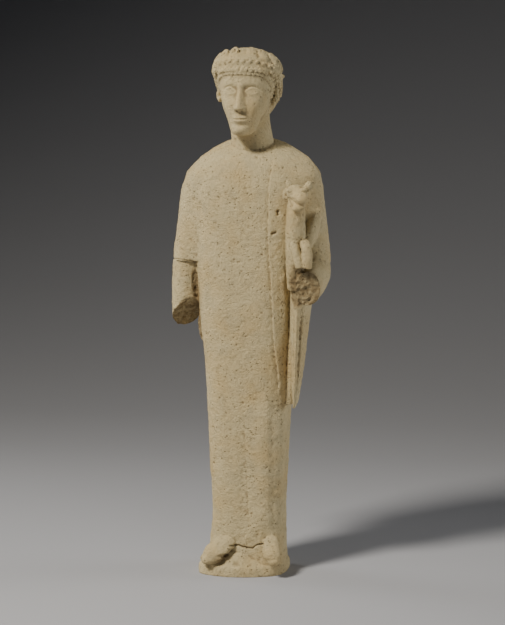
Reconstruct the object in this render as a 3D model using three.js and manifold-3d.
// Limestone votary statuette: a standing robed youth with a leaf wreath, who holds a kid against
// his left shoulder, on a low plinth. The figure, the animal and the plinth are carved from one stone.
// Millimetres, +Z up, the figure faces -Y. The origin is on the underside of the plinth, below the
// middle of the legs. The figure's own right side is at -X.
import * as THREE from 'three';
import { mergeVertices } from 'three/addons/utils/BufferGeometryUtils.js';
import Module from 'manifold-3d';

const wasm = await Module();
wasm.setup();

// Driving dimensions, in millimetres
const HEIGHT = 534;
const HEAD_HEIGHT = 87;
const FACE_WIDTH = 54;
const PLINTH = { width: 89, depth: 73, edge: 12 };
const MANTLE_THICKNESS = 1.6;

// Heights that follow from them
const CHIN = HEIGHT - HEAD_HEIGHT;
const EYE = CHIN + HEAD_HEIGHT / 2;
const BROW = EYE + 6.5;
const NOSE_BASE = (BROW + CHIN) / 2;
const MOUTH = NOSE_BASE - (NOSE_BASE - CHIN) / 3;
const NECKLINE = CHIN - 9;
const SLEEVE_END = 320;
const HEM = 28;

const lerp = (a, b, t) => a + (b - a) * t;
const clamp01 = (t) => Math.min(1, Math.max(0, t));
const smooth = (a, b, x) => {
  const t = clamp01((x - a) / (b - a));
  return t * t * (3 - 2 * t);
};
const lerp3 = (a, b, t) => a.map((value, i) => lerp(value, b[i], t));
const bump = (...ratios) => Math.exp(-ratios.reduce((sum, r) => sum + r * r, 0));

// A smooth curve through values at rising knots, with no overshoot (monotone cubic Hermite).
function through(knots, values) {
  const last = knots.length - 1;
  const slope = (i) => (values[i + 1] - values[i]) / (knots[i + 1] - knots[i]);
  const tangent = knots.map((_, i) => {
    if (i === 0) return slope(0);
    if (i === last) return slope(last - 1);
    const before = slope(i - 1);
    const after = slope(i);
    return before * after <= 0 ? 0 : (2 * before * after) / (before + after);
  });
  return (x) => {
    const at = Math.min(knots[last], Math.max(knots[0], x));
    const next = knots.findIndex((k, i) => i > 0 && at <= k);
    const i = Math.max(1, next) - 1;
    const span = knots[i + 1] - knots[i];
    const t = (at - knots[i]) / span;
    const rest = 1 - t;
    return (
      values[i] * (1 + 2 * t) * rest * rest +
      tangent[i] * span * t * rest * rest +
      values[i + 1] * t * t * (3 - 2 * t) -
      tangent[i + 1] * span * t * t * rest
    );
  };
}

// Turns a list of stations, each with the same named sizes, into one smooth function per size.
function stationsBy(key, stations) {
  const knots = stations.map((s) => s[key]);
  const names = Object.keys(stations[0]).filter((name) => name !== key);
  return Object.fromEntries(names.map((n) => [n, through(knots, stations.map((s) => s[n]))]));
}

// A closed solid from a function of two parameters: around (0 to 1, closed on itself) and along
// (0 to 1). Its first and last rings are closed with a fan to their middle.
function ringSolid(alongSteps, aroundSteps, pointAt) {
  const positions = [];
  const index = [];
  const middle = (row) => {
    const sum = new THREE.Vector3();
    for (let j = 0; j < aroundSteps; j++) sum.add(pointAt(j / aroundSteps, row / alongSteps));
    return sum.divideScalar(aroundSteps);
  };
  for (let row = 0; row <= alongSteps; row++)
    for (let j = 0; j < aroundSteps; j++)
      positions.push(...pointAt(j / aroundSteps, row / alongSteps).toArray());
  positions.push(...middle(0).toArray(), ...middle(alongSteps).toArray());
  const firstPole = (alongSteps + 1) * aroundSteps;
  for (let j = 0; j < aroundSteps; j++) {
    const next = (j + 1) % aroundSteps;
    for (let row = 0; row < alongSteps; row++) {
      const low = row * aroundSteps;
      const high = low + aroundSteps;
      index.push(low + j, low + next, high + next, low + j, high + next, high + j);
    }
    const top = alongSteps * aroundSteps;
    index.push(firstPole, next, j, firstPole + 1, top + j, top + next);
  }
  const geometry = new THREE.BufferGeometry();
  geometry.setAttribute('position', new THREE.Float32BufferAttribute(positions, 3));
  geometry.setIndex(index);
  return solidOf(geometry);
}

// A three.js geometry as a solid for joining and cutting, turned outwards if it was inside out.
function solidOf(geometry) {
  const bare = geometry.clone();
  bare.deleteAttribute('normal');
  bare.deleteAttribute('uv');
  const merged = mergeVertices(bare, 1e-4);
  const make = (triVerts) =>
    new wasm.Manifold(
      new wasm.Mesh({ numProp: 3, vertProperties: merged.attributes.position.array, triVerts })
    );
  const faces = Uint32Array.from(merged.index.array);
  const solid = make(faces);
  if (solid.volume() > 0) return solid;
  for (let i = 0; i < faces.length; i += 3) [faces[i + 1], faces[i + 2]] = [faces[i + 2], faces[i + 1]];
  return make(faces);
}

const join = (solids) => solids.reduce((sum, s) => sum.add(s));

// A point of a rounded-rectangle section: an ellipse pushed out towards its corners as the
// exponent `square` rises above 2.
function sectionPoint(angle, section) {
  const { right, left, front, back, square } = section;
  const c = Math.cos(angle);
  const s = Math.sin(angle);
  const push = (Math.abs(c) ** square + Math.abs(s) ** square) ** (-1 / square);
  return {
    x: (left - right) / 2 + ((left + right) / 2) * c * push,
    y: (back - front) / 2 + ((back + front) / 2) * s * push,
  };
}

// A solid carried along a path: at each step an elliptical section, `wide` across and `deep`
// the other way, stands square to the path. `side` is the direction of the section's width.
function sweptSolid({ path, wide, deep, side = [1, 0, 0], steps = 10, around = 14 }) {
  const curve = new THREE.CatmullRomCurve3(path.map((p) => new THREE.Vector3(...p)));
  const knots = wide.map((_, i) => i / (wide.length - 1));
  const widthAt = through(knots, wide);
  const depthAt = through(knots, deep);
  const across = new THREE.Vector3(...side);
  return ringSolid(steps, around, (u, v) => {
    const at = curve.getPoint(v);
    const tangent = curve.getTangent(v);
    const first = across.clone().addScaledVector(tangent, -across.dot(tangent)).normalize();
    const second = tangent.clone().cross(first);
    const angle = 2 * Math.PI * u;
    return at
      .addScaledVector(first, widthAt(v) * Math.cos(angle))
      .addScaledVector(second, depthAt(v) * Math.sin(angle));
  });
}

// An ellipsoid with its own turn, for rounded lumps such as beads, eyes and snouts.
function lump({ at, size, turn = [0, 0, 0], around = 12, rows = 8 }) {
  const geometry = new THREE.SphereGeometry(1, around, rows);
  geometry.scale(...size);
  const matrix = new THREE.Matrix4().makeRotationFromEuler(
    new THREE.Euler(...turn.map(THREE.MathUtils.degToRad))
  );
  matrix.setPosition(...at);
  return solidOf(geometry.applyMatrix4(matrix));
}

// A block of stone beyond a plane, to be taken away where a limb has broken off.
function beyondPlane({ at, normal, size }) {
  const geometry = new THREE.BoxGeometry(size, size, size);
  geometry.translate(0, 0, size / 2);
  const towards = new THREE.Vector3(...normal).normalize();
  const turn = new THREE.Quaternion().setFromUnitVectors(new THREE.Vector3(0, 0, 1), towards);
  const matrix = new THREE.Matrix4().makeRotationFromQuaternion(turn).setPosition(...at);
  return solidOf(geometry.applyMatrix4(matrix));
}

// The robe over the body, as level sections: the reach to the figure's right (-X), left (+X), front
// (-Y) and back (+Y), how square it is, and how far it drops for each millimetre forward.
const ROBE_STATIONS = [
  { z: 8, right: 41, left: 40, front: 29, back: 31, square: 3.3, lean: 0 },
  { z: HEM, right: 39, left: 38.6, front: 26.5, back: 30, square: 3.2, lean: 0 },
  { z: 66, right: 35.3, left: 38.4, front: 27.5, back: 30.5, square: 3.1, lean: 0 },
  { z: 112, right: 37.9, left: 40.4, front: 29.5, back: 31.5, square: 3, lean: 0 },
  { z: 166, right: 40.2, left: 43.2, front: 31.5, back: 33, square: 2.9, lean: 0 },
  { z: 224, right: 43.8, left: 45.5, front: 33.5, back: 36, square: 2.7, lean: 0 },
  { z: 270, right: 49.5, left: 50, front: 35, back: 38.5, square: 2.6, lean: 0 },
  { z: 330, right: 53, left: 56, front: 36, back: 40, square: 2.6, lean: 0 },
  { z: 372, right: 56, left: 62, front: 36.5, back: 40.5, square: 2.5, lean: 0 },
  { z: 391, right: 59, left: 67, front: 36.5, back: 39, square: 2.4, lean: 0.02 },
  { z: 408, right: 59, left: 69, front: 34.5, back: 36, square: 2.3, lean: 0.08 },
  { z: 420.5, right: 51.5, left: 63.5, front: 32, back: 33, square: 2.2, lean: 0.18 },
  { z: 428, right: 42, left: 52, front: 29.5, back: 30.5, square: 2.15, lean: 0.26 },
  { z: 433.5, right: 32.5, left: 40, front: 27, back: 28, square: 2.1, lean: 0.32 },
  { z: NECKLINE, right: 17, left: 21, front: 15.5, back: 21, square: 2, lean: 0.36 },
];
const robe = stationsBy('z', ROBE_STATIONS);

// The sleeves, as level ellipses beside the body. The right sleeve ends in an edge; the left one
// closes round the bent elbow.
const RIGHT_SLEEVE = stationsBy('z', [
  { z: SLEEVE_END, x: -61, y: 0, wide: 15.6, deep: 19 },
  { z: 360, x: -57.2, y: 2, wide: 15.6, deep: 19 },
  { z: 391, x: -51.5, y: 3, wide: 16.4, deep: 19 },
  { z: 408, x: -44, y: 2, wide: 15, deep: 18 },
  { z: 424, x: -30, y: 0, wide: 10, deep: 14 },
]);
const LEFT_SLEEVE = stationsBy('z', [
  { z: 274, x: 62, y: -4, wide: 2, deep: 4 },
  { z: 283, x: 62, y: -2, wide: 9.5, deep: 15 },
  { z: 298, x: 64.5, y: 3, wide: 13, deep: 19 },
  { z: 320, x: 67.2, y: 6, wide: 16, deep: 20 },
  { z: 360, x: 63, y: 6, wide: 16.2, deep: 20 },
  { z: 391, x: 58, y: 4, wide: 17, deep: 20 },
  { z: 408, x: 53.5, y: 2, wide: 16.6, deep: 19 },
  { z: 424, x: 40, y: 0, wide: 12, deep: 14 },
]);
const SLEEVE_BLEND = 11;

// Zero on the outline of a superellipse, negative inside, about a distance in millimetres.
function outlineOf(x, y, { centreX, centreY, wide, deep, square }) {
  const norm = (Math.abs((x - centreX) / wide) ** square + Math.abs((y - centreY) / deep) ** square) ** (1 / square);
  return (norm - 1) * Math.min(wide, deep);
}

// The smaller of two outlines, rounded where they meet.
function blended(a, b, radius) {
  const h = clamp01(0.5 + (b - a) / (2 * radius));
  return lerp(b, a, h) - radius * h * (1 - h);
}

function sleeveOutline(x, y, z, sleeve, low) {
  const within = z >= low && z <= 424;
  if (!within) return Infinity;
  return outlineOf(x, y, {
    centreX: sleeve.x(z),
    centreY: sleeve.y(z),
    wide: sleeve.wide(z),
    deep: sleeve.deep(z),
    square: 2,
  });
}

// The outline of body and sleeves together at one height.
function robeOutline(x, y, z) {
  const body = outlineOf(x, y, {
    centreX: (robe.left(z) - robe.right(z)) / 2,
    centreY: (robe.back(z) - robe.front(z)) / 2,
    wide: (robe.left(z) + robe.right(z)) / 2,
    deep: (robe.back(z) + robe.front(z)) / 2,
    square: robe.square(z),
  });
  const right = sleeveOutline(x, y, z, RIGHT_SLEEVE, SLEEVE_END);
  const left = sleeveOutline(x, y, z, LEFT_SLEEVE, 274);
  const one = right < Infinity ? blended(body, right, SLEEVE_BLEND) : body;
  return left < Infinity ? blended(one, left, SLEEVE_BLEND) : one;
}

// How far out along a level ray the outermost point of an outline lies.
function reach(outline, centre, direction, far) {
  const at = (r) => outline(centre.x + direction.x * r, centre.y + direction.y * r);
  let outside = far;
  while (outside > 2 && at(outside - 2) > 0) outside -= 2;
  let inside = outside - 2;
  for (let i = 0; i < 14; i++) {
    const middle = (inside + outside) / 2;
    if (at(middle) > 0) outside = middle;
    else inside = middle;
  }
  return inside;
}

// Two lines run down the front of the figure's left side: the front edge of the mantle, which lies
// on the robe as one more thickness of cloth, and the fold where it turns away to the side.
const mantleEdgeAcross = through([0, 182, 245, 300, 345, 399, 433], [37, 37.3, 32.4, 30.2, 27.8, 28.6, 32]);
const mantleFoldAcross = through([0, 176, 209, 250, 290, 330], [47, 46, 45, 43.6, 42.8, 44]);
const mantleEdge = (z) => Math.min(mantleEdgeAcross(z), robe.left(z) - 5, 0.82 * robe.left(z));
const mantleFold = (z) => Math.min(mantleFoldAcross(z), robe.left(z) - 1.6, 0.93 * robe.left(z));
const EDGE_WIDTH = 0.8;
const FOLD_WIDTH = 2.6;
const FOLD_DEPTH = 3.4;

// The modelling of the front, as a height to add towards -Y: the mantle over the robe, the deep fold
// beside the hanging end, and the two legs with a shallow hollow between them.
function robeRelief(x, z) {
  const edge = mantleEdge(z);
  const mantle = MANTLE_THICKNESS * smooth(edge, edge + EDGE_WIDTH, x) * smooth(180, 200, z);
  const fold = -FOLD_DEPTH * smooth(mantleFold(z), mantleFold(z) + FOLD_WIDTH, x);
  const foldHeights = smooth(184, 215, z) * smooth(340, 318, z);
  const legs = smooth(185, 120, z) * smooth(34, 60, z);
  const betweenLegs = -1.6 * bump((x - 6) / 5) * legs;
  const shins = 1.1 * (bump((x + 15) / 13) + bump((x - 24) / 9)) * legs;
  return mantle + fold * foldHeights + betweenLegs + shins;
}

// The bare outline at an angle, and with the relief of the front added. Angles are counted from the
// figure's left side to its back, right side and front.
const RAY_STRETCH = 1.75;
function robeBare(angle, z) {
  const ray = new THREE.Vector2(RAY_STRETCH * Math.cos(angle), Math.sin(angle)).normalize();
  const centre = { x: (robe.left(z) - robe.right(z)) / 2, y: (robe.back(z) - robe.front(z)) / 2 };
  const r = reach((x, y) => robeOutline(x, y, z), centre, ray, 110);
  return { x: centre.x + ray.x * r, y: centre.y + ray.y * r };
}
function robePoint(angle, z) {
  const bare = robeBare(angle, z);
  const frontness = smooth(0.1, 0.45, -Math.sin(angle));
  const y = bare.y - robeRelief(bare.x, z) * frontness;
  return new THREE.Vector3(bare.x, y, z + robe.lean(z) * y);
}

// The angle on the front left quarter of the robe at which it reaches a given place across.
function angleAcross(x, z) {
  let low = 1.5 * Math.PI;
  let high = 2 * Math.PI;
  for (let i = 0; i < 14; i++) {
    const middle = (low + high) / 2;
    if (robeBare(middle, z).x < x) low = middle;
    else high = middle;
  }
  return low;
}

// Some columns of the robe are guides: left, right, front, and the two sides of each line of the
// mantle. The other columns are spread between them, wider apart on the plain back.
const ROBE_COLUMNS = 34;
const GUIDES = [0, 14, 23, 26, 27, 28, 29, 34];
function robeSolid() {
  const rows = [8, HEM, 66, 112, 145, 172, 184, 200, 224, 250, 274, 284, 298];
  rows.push(SLEEVE_END - 0.6, SLEEVE_END + 0.4, 341, 362, 382, 396, 406, 414, 420.5, 426);
  rows.push(431, 434.5, NECKLINE);
  const last = rows.length - 1;
  const columnAngles = rows.map((z) =>
    through(GUIDES, [
      0,
      Math.PI,
      1.5 * Math.PI,
      angleAcross(mantleEdge(z), z),
      angleAcross(mantleEdge(z) + EDGE_WIDTH, z),
      angleAcross(mantleFold(z), z),
      angleAcross(Math.min(mantleFold(z) + FOLD_WIDTH, robe.left(z) - 0.5), z),
      2 * Math.PI,
    ])
  );
  return ringSolid(last, ROBE_COLUMNS, (u, v) => {
    const row = Math.round(v * last);
    return robePoint(columnAngles[row](u * ROBE_COLUMNS), rows[row]);
  });
}

// The end of the mantle hangs from the left forearm beside the body and narrows to a point. It has
// converging folds, and a web of stone joins it to the side of the robe.
const PANEL = stationsBy('z', [
  { z: 173, x: 51, y: -18, wide: 0.9, deep: 2.5 },
  { z: 179, x: 52.4, y: -17.5, wide: 2.5, deep: 7 },
  { z: 190, x: 53.1, y: -17, wide: 3.8, deep: 10.5 },
  { z: 209, x: 54.3, y: -16.5, wide: 5.6, deep: 14 },
  { z: 229, x: 55.2, y: -16, wide: 7.1, deep: 17 },
  { z: 261, x: 56.7, y: -16, wide: 9, deep: 21 },
  { z: 285, x: 58.4, y: -15, wide: 10.6, deep: 24.5 },
  { z: 306, x: 60.5, y: -12, wide: 13, deep: 26 },
  { z: 322, x: 61, y: -8, wide: 12, deep: 22 },
]);
const WEB = stationsBy('z', [
  { z: 176, x: 44, y: -10, wide: 5.5, deep: 5 },
  { z: 190, x: 46, y: -7, wide: 7, deep: 9 },
  { z: 229, x: 49, y: -3, wide: 9, deep: 15 },
  { z: 285, x: 52, y: 0, wide: 11, deep: 19 },
  { z: 318, x: 52, y: 0, wide: 10, deep: 15 },
]);
function hangingEnd() {
  const folds = 3;
  const heights = [173, 179, 190, 205, 222, 240, 261, 285, 306, 322];
  const last = heights.length - 1;
  const panel = ringSolid(last, 18, (u, v) => {
    const z = heights[Math.round(v * last)];
    const angle = 2 * Math.PI * u;
    const frontness = smooth(-0.2, 0.7, -Math.sin(angle));
    const fold = 1 + 0.12 * Math.cos(2 * folds * angle) * frontness * smooth(305, 240, z);
    const x = PANEL.x(z) + PANEL.wide(z) * fold * Math.cos(angle);
    return new THREE.Vector3(x, PANEL.y(z) + PANEL.deep(z) * fold * Math.sin(angle), z);
  });
  const web = ringSolid(5, 10, (u, v) => {
    const z = lerp(176, 318, v);
    const angle = 2 * Math.PI * u;
    const x = WEB.x(z) + WEB.wide(z) * Math.cos(angle);
    return new THREE.Vector3(x, WEB.y(z) + WEB.deep(z) * Math.sin(angle), z);
  });
  return panel.add(web);
}

// The right forearm hangs free below the sleeve and is broken off on a slant above the wrist.
const RIGHT_ARM = {
  path: [[-59, 4, 362], [-62, 2, 330], [-63.6, 2, 300], [-64, 2, 270], [-63, 2, 236]],
  wide: [13, 14.6, 15.2, 15.2, 14.6],
  deep: [16, 17.4, 17.4, 17.2, 16.8],
};
function rightForearm() {
  const arm = sweptSolid({ ...RIGHT_ARM, steps: 6, around: 14 });
  const broken = beyondPlane({ at: [-79, 0, 268], normal: [-0.1, -0.8, -1], size: 120 });
  const remnant = lump({ at: [-46.8, 2, 259], size: [5.2, 9, 21], around: 6, rows: 6 });
  return arm.subtract(broken).add(remnant);
}

// The left arm is bent: the forearm comes forward under the kid and is broken off before the hand.
const LEFT_ARM = {
  path: [[62, 8, 348], [66.5, 9, 326], [69.4, 1, 311], [70, -18, 303], [69, -40, 298], [68, -58, 295]],
  wide: [11, 14.6, 15, 14, 12.6, 12],
  deep: [12, 15, 17.4, 17.6, 17.2, 17],
};
function leftForearm() {
  const arm = sweptSolid({ ...LEFT_ARM, steps: 8, around: 14 });
  return arm.subtract(beyondPlane({ at: [68, -44, 298], normal: [0.06, -0.97, -0.2], size: 120 }));
}

// The mantle's edge over the left upper arm: a rounded fold from the shoulder to the elbow's crook.
function sleeveFold() {
  return sweptSolid({
    path: [[68, -4, 390], [71, -12, 373], [69.5, -21, 359], [66, -28, 346], [61, -31, 334]],
    wide: [2, 4, 4.6, 4.4, 3],
    deep: [6, 8, 9, 9, 7],
    steps: 6,
    around: 8,
  });
}

// The kid: upright against the chest, its head turned out, its forelegs hanging.
const KID = { head: [60.5, -45, 391.5], muzzleTip: [66.5, -60, 382] };
function kid() {
  const body = sweptSolid({
    path: [[56.5, -30, 298], [56, -34, 325], [56, -37, 350], [57, -38.5, 372], [59.5, -43, 390]],
    wide: [9, 9.8, 10, 9.2, 7.6],
    deep: [11, 13.5, 14.5, 12, 6.5],
    steps: 6,
    around: 12,
  });
  const skull = lump({ at: KID.head, size: [11, 10.4, 10.6], around: 10, rows: 7 });
  const muzzle = sweptSolid({
    path: [KID.head, lerp3(KID.head, KID.muzzleTip, 0.55), KID.muzzleTip],
    wide: [9, 8, 5.6],
    deep: [8.6, 7, 4.8],
    steps: 3,
    around: 8,
  });
  const ear = lump({ at: [48.6, -43, 390], size: [3.8, 3, 6.4], turn: [0, 20, 0], around: 6, rows: 5 });
  const horns = [
    lump({ at: [52.6, -42, 401], size: [2.8, 3, 5.6], turn: [10, -24, 0], around: 6, rows: 5 }),
    lump({ at: [70.5, -44, 399.5], size: [3.8, 3.8, 6.6], turn: [0, 34, 0], around: 6, rows: 5 }),
  ];
  const forelegs = [
    { path: [[54, -47, 349], [58.4, -50, 339], [63, -50, 317]], wide: [4.2, 4.4, 3.4] },
    { path: [[66, -44, 352], [69, -49.5, 343], [70.3, -50.5, 316]], wide: [4, 5, 4.2] },
  ].map(({ path, wide }) =>
    sweptSolid({ path, wide, deep: wide.map((w) => w * 1.05), steps: 4, around: 8 })
  );
  return [body, skull, muzzle, ear, ...horns, ...forelegs];
}

// The neck leans forward out of the neckline.
function neck() {
  return sweptSolid({
    path: [[4.4, 5, NECKLINE - 22], [4, 4, NECKLINE], [2.4, 0, CHIN + 10], [0.8, 0, CHIN + 32]],
    wide: [23, 21, 20.2, 20],
    deep: [22, 20.4, 19.8, 20],
    steps: 3,
    around: 16,
  });
}

// The head without hair: level sections from chin to crown.
const HEAD_STATIONS = [
  { z: CHIN - 0.6, right: 1.5, left: 1.5, front: 32.5, back: -29.5, square: 2 },
  { z: CHIN + 1.4, right: 8.5, left: 8.5, front: 37, back: -18, square: 2 },
  { z: CHIN + 5, right: 11.8, left: 11.8, front: 39, back: -8, square: 2.05 },
  { z: MOUTH, right: 16.6, left: 16.6, front: 38.8, back: 4, square: 2.15 },
  { z: NOSE_BASE + 2, right: 21.6, left: 21.6, front: 37.8, back: 14, square: 2.2 },
  { z: EYE, right: FACE_WIDTH / 2 - 1.2, left: FACE_WIDTH / 2 - 1.2, front: 36.6, back: 22, square: 2.25 },
  { z: BROW + 8, right: 27.2, left: 27.2, front: 37, back: 25, square: 2.25 },
  { z: HEIGHT - 22, right: 27.6, left: 27.6, front: 36, back: 26, square: 2.2 },
  { z: HEIGHT - 12, right: 24, left: 24, front: 30, back: 23, square: 2.1 },
  { z: HEIGHT - 5, right: 15, left: 15, front: 19, back: 14, square: 2 },
  { z: HEIGHT - 2, right: 3, left: 3, front: 7, back: 1, square: 2 },
];
const head = stationsBy('z', HEAD_STATIONS);

// The features of a calm, evenly proportioned face, as a height to add towards -Y. Across is
// measured from the middle of the face.
function faceRelief(across, z) {
  const x = Math.abs(across);
  const eyeAcross = FACE_WIDTH / 4;
  const bridge = through([NOSE_BASE - 2, NOSE_BASE, NOSE_BASE + 3, EYE, BROW + 3], [0, 6, 9.8, 4, 0]);
  const noseWidth = lerp(5.2, 3.6, smooth(NOSE_BASE, EYE, z));
  const nose = bridge(z) * Math.exp(-((x / noseWidth) ** 4));
  const wings = 3.2 * bump((x - 5) / 2.4, (z - NOSE_BASE - 2.6) / 2.6);
  const socket = -3.2 * bump((x - eyeAcross + 1) / 8.2, (z - EYE) / 5.6);
  const eyeball = 3.4 * bump((x - eyeAcross) / 5.6, (z - EYE) / 3);
  const brow = 1.1 * bump((x - 12) / 10, (z - BROW - 0.8 + 0.014 * (x - 9) ** 2) / 2.6);
  const cheek = 1.6 * bump((x - 15) / 9, (z - NOSE_BASE - 7) / 8);
  const muzzle = 1.8 * bump(x / 12, (z - MOUTH) / 7);
  const upperLip = 1.9 * bump(x / 8, (z - MOUTH - 2) / 1.6);
  const lowerLip = 1.9 * bump(x / 7, (z - MOUTH + 2.4) / 1.8);
  const mouthLine = -1.5 * bump(x / 8.5, (z - MOUTH) / 0.9);
  const chin = 2 * bump(x / 8, (z - CHIN - 6) / 4.5);
  return nose + wings + socket + eyeball + brow + cheek + muzzle + upperLip + lowerLip + mouthLine + chin;
}

// More of the head's sides are spent on the face: the angle is drawn towards the front.
function headSolid() {
  const rows = [-0.6, 1.4, 5, 9.5, 12.4, 14.3, 16.7, 18.8, 21.4, 23.6, 25.6, 28, 32, 36, 39.4, 41.6];
  rows.push(43.5, 45.4, 47.6, 50.2, 53, 57, 62, 68, 75, 80, 83.6, 85);
  const last = rows.length - 1;
  const aroundSteps = 36;
  return ringSolid(last, aroundSteps, (u, v) => {
    const z = CHIN + rows[Math.round(v * last)];
    const turn = 2 * Math.PI * u;
    const angle = turn + 0.6 * Math.cos(turn);
    const section = Object.fromEntries(Object.entries(head).map(([name, at]) => [name, at(z)]));
    const { x, y } = sectionPoint(angle, section);
    const frontness = smooth(0.1, 0.6, -Math.sin(angle));
    return new THREE.Vector3(x, y - faceRelief(x, z) * frontness, z);
  });
}

// The hair: a smooth cap from the crown to the nape, behind the curls that frame the face.
const HAIR_STATIONS = [
  { z: CHIN + 12, right: 13, left: 13, front: -4, back: 19, square: 2 },
  { z: CHIN + 18, right: 18, left: 18, front: -3, back: 23.5, square: 2.1 },
  { z: CHIN + 26, right: 24, left: 24, front: 0, back: 28, square: 2.3 },
  { z: CHIN + 36, right: 28.4, left: 28.4, front: 4, back: 32, square: 2.4 },
  { z: EYE + 4, right: 32, left: 32, front: 12, back: 34, square: 2.4 },
  { z: BROW + 6, right: 33, left: 33, front: 21, back: 34.5, square: 2.3 },
  { z: HEIGHT - 23, right: 33, left: 33, front: 37.5, back: 34.5, square: 2.2 },
  { z: HEIGHT - 12, right: 29, left: 29, front: 35, back: 30, square: 2.15 },
  { z: HEIGHT - 4, right: 18, left: 18, front: 22, back: 17, square: 2.1 },
  { z: HEIGHT, right: 4, left: 4, front: 8, back: 3, square: 2 },
];
function hairSolid() {
  const low = HAIR_STATIONS[0].z;
  const rows = [0, 6, 12, 18, 24, 31, 38, 44, 50, 56, 61, 66, 70, 73, 75];
  const last = rows.length - 1;
  return ringSolid(last, 20, (u, v) => {
    const z = low + rows[Math.round(v * last)];
    const section = Object.fromEntries(Object.entries(hair).map(([name, at]) => [name, at(z)]));
    const { x, y } = sectionPoint(2 * Math.PI * u, section);
    return new THREE.Vector3(x, y, z);
  });
}

// The outline of head and hair at one height, and a point on it in a given direction, counted in
// degrees from the front towards the figure's left.
const hair = stationsBy('z', HAIR_STATIONS);
function headOutline(x, y, z) {
  const parts = [head, hair].map((layer) =>
    outlineOf(x, y, {
      centreX: 0,
      centreY: (layer.back(z) - layer.front(z)) / 2,
      wide: layer.left(z),
      deep: (layer.back(z) + layer.front(z)) / 2,
      square: layer.square(z),
    })
  );
  return Math.min(...parts);
}
function onHead(degrees, z, outwards = 0) {
  const angle = THREE.MathUtils.degToRad(degrees);
  const ray = { x: Math.sin(angle), y: -Math.cos(angle) };
  const r = reach((x, y) => headOutline(x, y, z), { x: 0, y: 0 }, ray, 60) + outwards;
  return [ray.x * r, ray.y * r, z];
}

// The hairline as an arch: the height at each angle from the front.
const hairline = through([0, 22, 42, 60, 74, 86, 98], [508, 507.5, 504, 497, 488, 480, 471]);

// Round curls in rows along the hairline. The first rows run from ear to ear; more rows fill the
// temples. Each row lies further from the face, square to the arch.
const CURL = { radius: 3.1, pitch: 6, row: 4.7, rows: 4, fullRows: 2, templeFrom: 52, last: 92 };
function curls() {
  const made = [];
  const degreesPerMillimetre = 360 / (2 * Math.PI * 34);
  for (let row = 0; row < CURL.rows; row++) {
    let along = row % 2 ? CURL.pitch / 2 : 0;
    let degrees = along * degreesPerMillimetre;
    while (degrees < CURL.last) {
      const slope = (hairline(degrees + 1) - hairline(degrees - 1)) / (2 / degreesPerMillimetre);
      const length = Math.hypot(1, slope);
      const away = (row * CURL.row + 1) / length;
      const at = degrees - away * slope * degreesPerMillimetre;
      const z = hairline(degrees) + away;
      const wanted = row < CURL.fullRows || degrees > CURL.templeFrom;
      for (const side of degrees === 0 ? [1] : [1, -1])
        if (wanted)
          made.push(
            lump({
              at: onHead(side * at, z, row < CURL.fullRows ? -0.2 : 0.6),
              size: [CURL.radius, CURL.radius, CURL.radius],
              turn: [0, 0, side * at],
              around: 5,
              rows: 2,
            })
          );
      along = CURL.pitch / length;
      degrees += along * degreesPerMillimetre;
    }
  }
  return made;
}

// The wreath: broad leaves side by side on a ring that is tipped up at the front, leaning in over
// the head. A gap is left over the forehead, where the smooth crown shows.
const WREATH = { leaves: 15, gap: 22, front: 522.5, back: 512, wide: 7, thick: 3.3, long: 9.4, tip: 26 };
function wreath() {
  const made = [];
  for (let i = 0; i < WREATH.leaves; i++) {
    const degrees = lerp(WREATH.gap, 360 - WREATH.gap, i / (WREATH.leaves - 1));
    const frontness = 0.5 + 0.5 * Math.cos(THREE.MathUtils.degToRad(degrees));
    const z = lerp(WREATH.back, WREATH.front, frontness);
    const geometry = new THREE.SphereGeometry(1, 6, 4);
    geometry.rotateX(Math.PI / 2);
    geometry.scale(WREATH.wide, WREATH.thick, WREATH.long);
    geometry.rotateX(THREE.MathUtils.degToRad(-WREATH.tip));
    geometry.rotateZ(THREE.MathUtils.degToRad(degrees));
    geometry.translate(...onHead(degrees, z, -1.4));
    made.push(solidOf(geometry));
  }
  return made;
}

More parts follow.
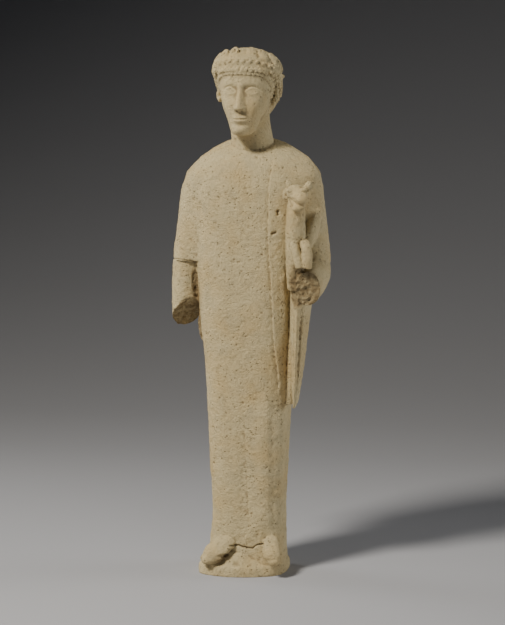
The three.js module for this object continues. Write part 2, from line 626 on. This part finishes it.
// The plinth: an irregular rounded slab, worn at its front left corner, whose top climbs to the hem.
function plinthSolid() {
  const heights = [0, PLINTH.edge * 0.35, PLINTH.edge * 0.8, PLINTH.edge, PLINTH.edge + 8, HEM - 2];
  const inset = [0.4, 0, 0.6, 3.2, 8.5, 14];
  const last = heights.length - 1;
  return ringSolid(last, 26, (u, v) => {
    const level = Math.round(v * last);
    const angle = 2 * Math.PI * u;
    const worn = 7 * bump((u - 0.865) / 0.075) + 2.5 * bump((u - 0.64) / 0.04);
    const inside = inset[level] + worn;
    const section = {
      right: 47.8 - inside,
      left: PLINTH.width - 47.8 - inside,
      front: 39 - inside,
      back: PLINTH.depth - 39 - inside,
      square: 4.6,
    };
    const { x, y } = sectionPoint(angle, section);
    return new THREE.Vector3(x, y, heights[level]);
  });
}

// The feet come out from under the hem and slope down, turned a little outwards.
function feet() {
  return [
    { path: [[-10, -18, 32], [-16, -26, 28], [-23, -33, 20.5], [-28.5, -37.5, 14.5]], wide: [8, 8.4, 8.4, 5.6] },
    { path: [[27, -18, 32], [29.5, -27, 27.5], [32, -34, 20], [34.5, -38, 13.5]], wide: [8.4, 9, 8.6, 5.6] },
  ].map(({ path, wide }) =>
    sweptSolid({ path, wide, deep: wide.map((w) => w * 0.78), steps: 4, around: 8 })
  );
}

function statuette() {
  return join([
    robeSolid(),
    hangingEnd(),
    rightForearm(),
    leftForearm(),
    sleeveFold(),
    neck(),
    headSolid(),
    hairSolid(),
    ...curls(),
    ...wreath(),
    ...kid(),
    plinthSolid(),
    ...feet(),
  ]);
}

function meshOf(solid, name, material) {
  const { vertProperties, triVerts, numProp } = solid.getMesh();
  const positions = [];
  for (let i = 0; i < vertProperties.length; i += numProp)
    positions.push(vertProperties[i], vertProperties[i + 1], vertProperties[i + 2]);
  const geometry = new THREE.BufferGeometry();
  geometry.setAttribute('position', new THREE.Float32BufferAttribute(positions, 3));
  geometry.setIndex([...triVerts]);
  geometry.computeVertexNormals();
  const mesh = new THREE.Mesh(geometry, material);
  mesh.name = name;
  return mesh;
}

const limestone = new THREE.MeshStandardMaterial({ color: 0xcabb98, roughness: 0.9, metalness: 0 });

const part = new THREE.Group();
part.add(meshOf(statuette(), 'votary_statuette', limestone));
export default part;
